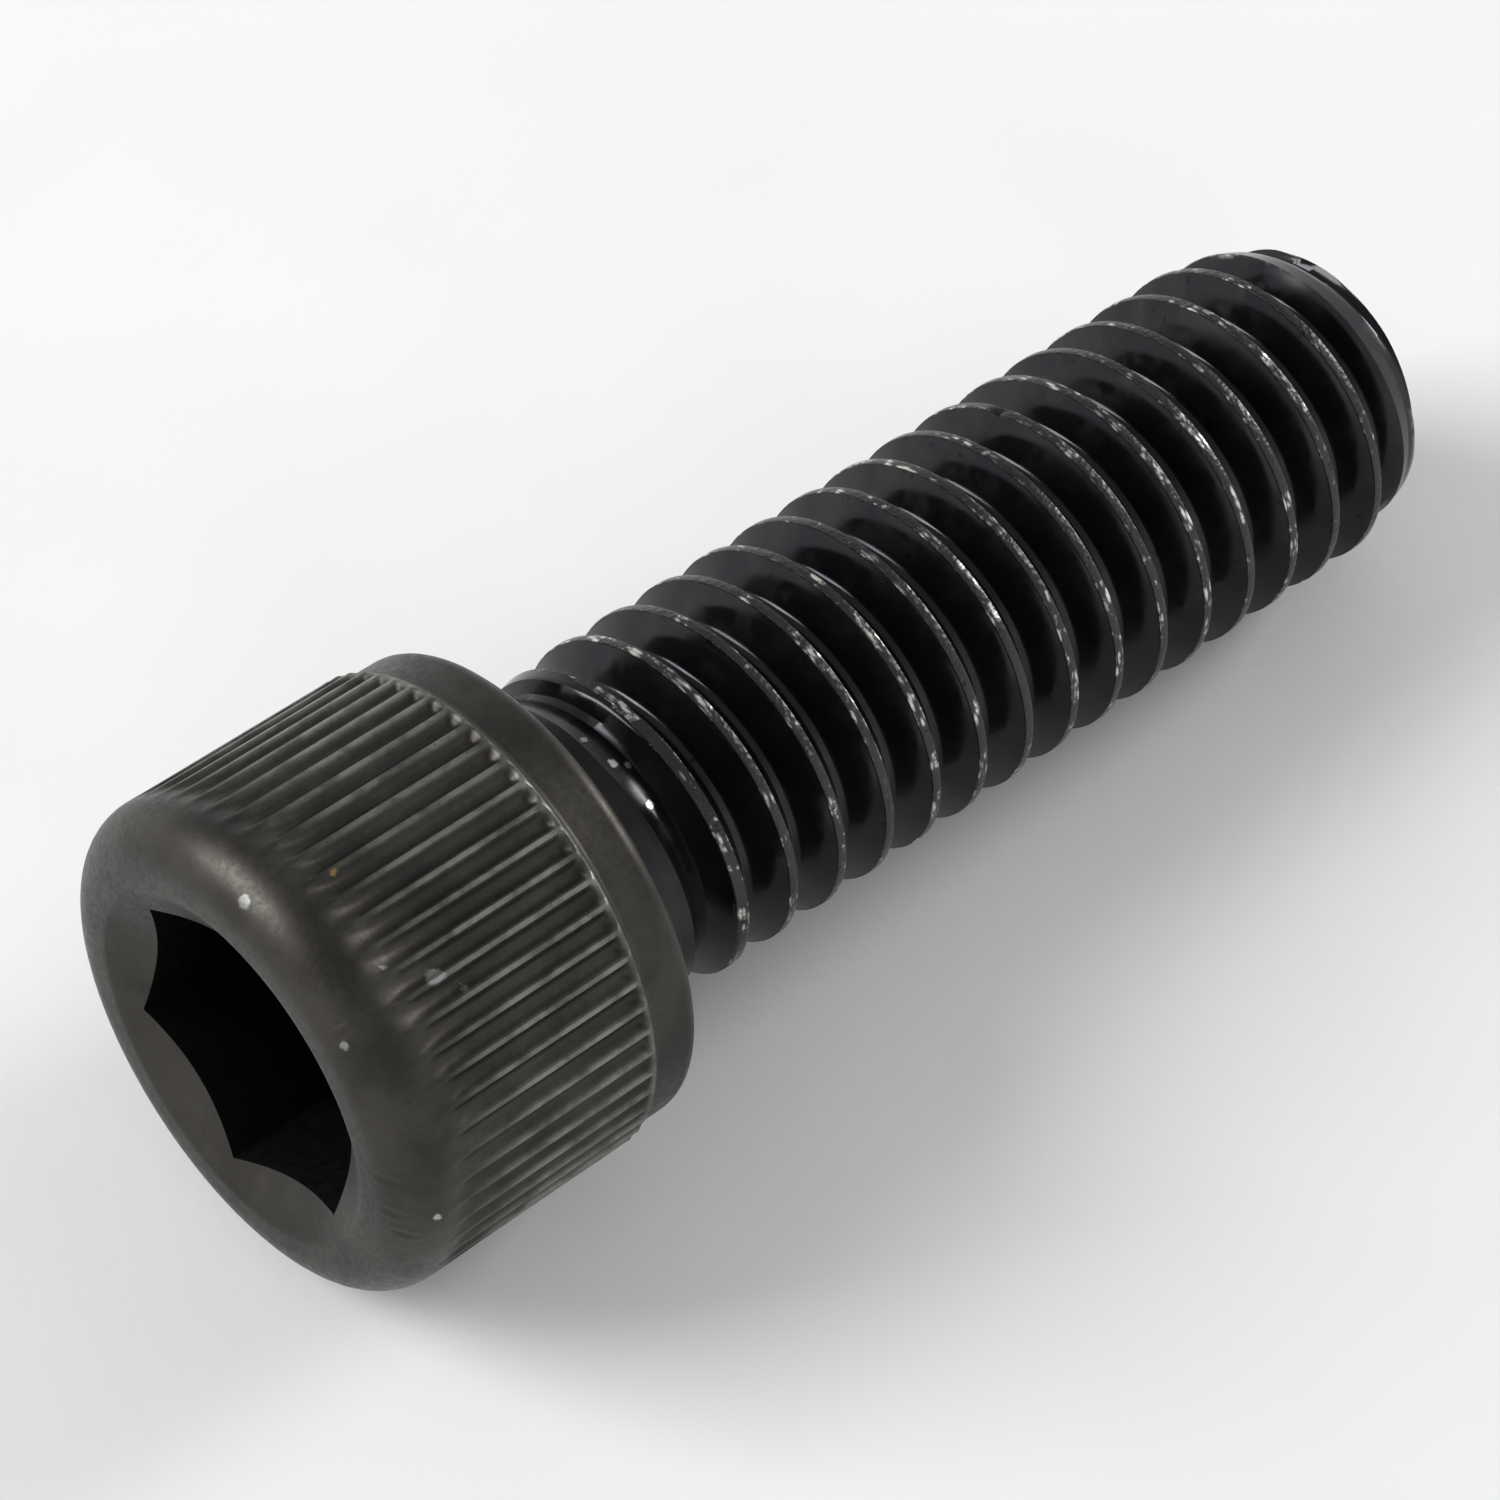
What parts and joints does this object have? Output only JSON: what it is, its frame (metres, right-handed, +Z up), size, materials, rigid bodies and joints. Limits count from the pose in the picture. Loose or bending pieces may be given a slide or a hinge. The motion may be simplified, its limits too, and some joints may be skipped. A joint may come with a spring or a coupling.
{
  "type": "socket head cap screw",
  "caption": "Black-oxide steel cap screw with a knurled cylindrical head, a hexagon socket and a coarse right-hand thread, lying on its side.",
  "frame": {"origin": "on the surface that the screw lies on, under the middle of its bounding box", "axes": "+X runs along the screw from the head towards the point, +Z is up; the screw's own axis slopes down by 4.4 degrees towards the point, because the head is wider than the thread"},
  "size_m": [0.0332, 0.0116, 0.012],
  "materials": {
    "black_oxide_steel": "black oxide over alloy steel: satin on the head, glossier and lightly oiled on the thread"
  },
  "bodies": {
    "root": {"cap_screw": "black_oxide_steel"}
  },
  "joints": []
}
